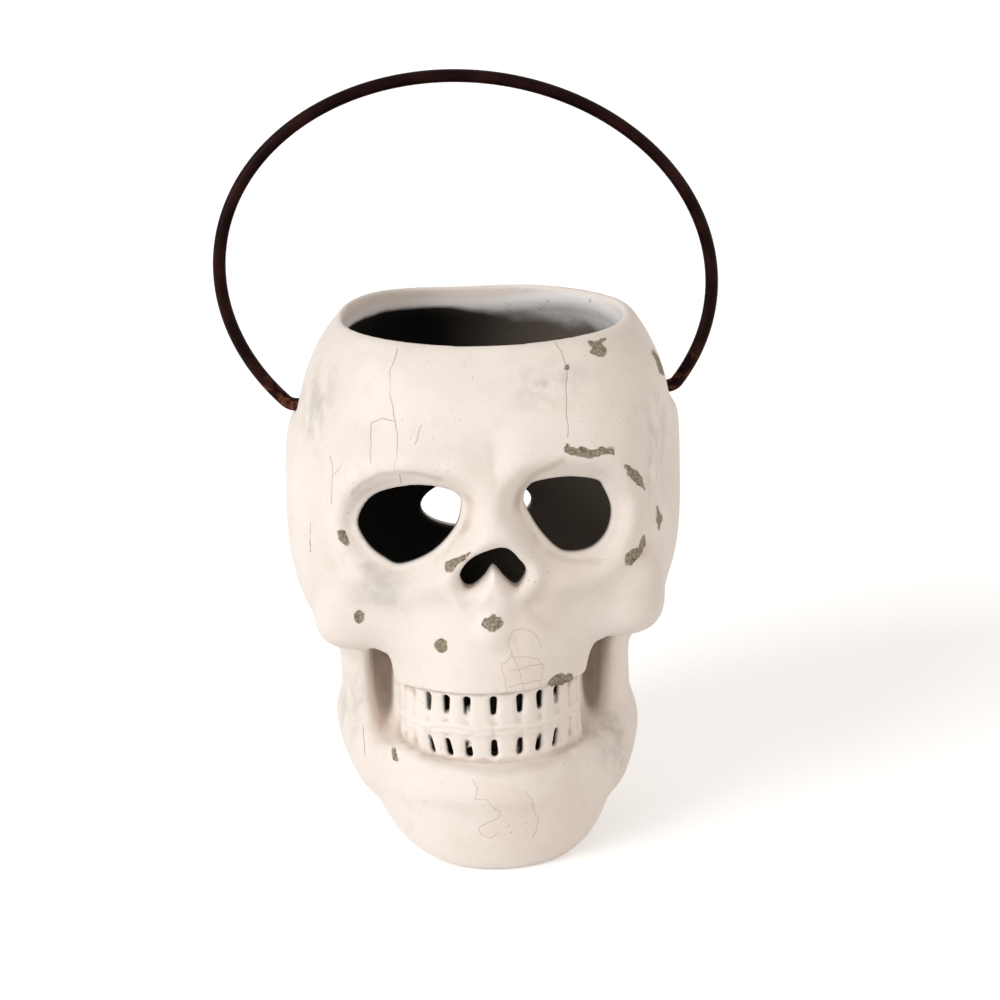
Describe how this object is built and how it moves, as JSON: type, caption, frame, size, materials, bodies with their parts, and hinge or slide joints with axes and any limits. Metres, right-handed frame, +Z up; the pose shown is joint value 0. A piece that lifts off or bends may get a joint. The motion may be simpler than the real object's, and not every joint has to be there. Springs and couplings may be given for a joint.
{
  "type": "skull candle holder",
  "caption": "White-painted skull candle holder: a hollow casting with an open crown, cut-out eyes and nose, slotted teeth, a vent in the back and a swinging wire handle.",
  "frame": {"origin": "middle of the flat base, in the plane that the skull rests on", "axes": "+Z up, the face looks along -Y, +X to the right of someone who faces it"},
  "size_m": [0.1626, 0.1587, 0.2427],
  "materials": {
    "painted_casting": "matt white paint, cracked, chipped and stained, over a coarse grey-brown casting",
    "dark_wire": "dark maroon-black paint with rust at the hooked ends"
  },
  "bodies": {
    "casting": {"skull": "painted_casting"},
    "handle": {"bail": "dark_wire"}
  },
  "joints": [
    {"name": "handle_swing", "type": "hinge", "parent": "casting", "child": "handle", "pos_m": [0.00188, 0, 0.1371], "axis": [1, 0, 0], "range_deg": [-140, 125]}
  ]
}
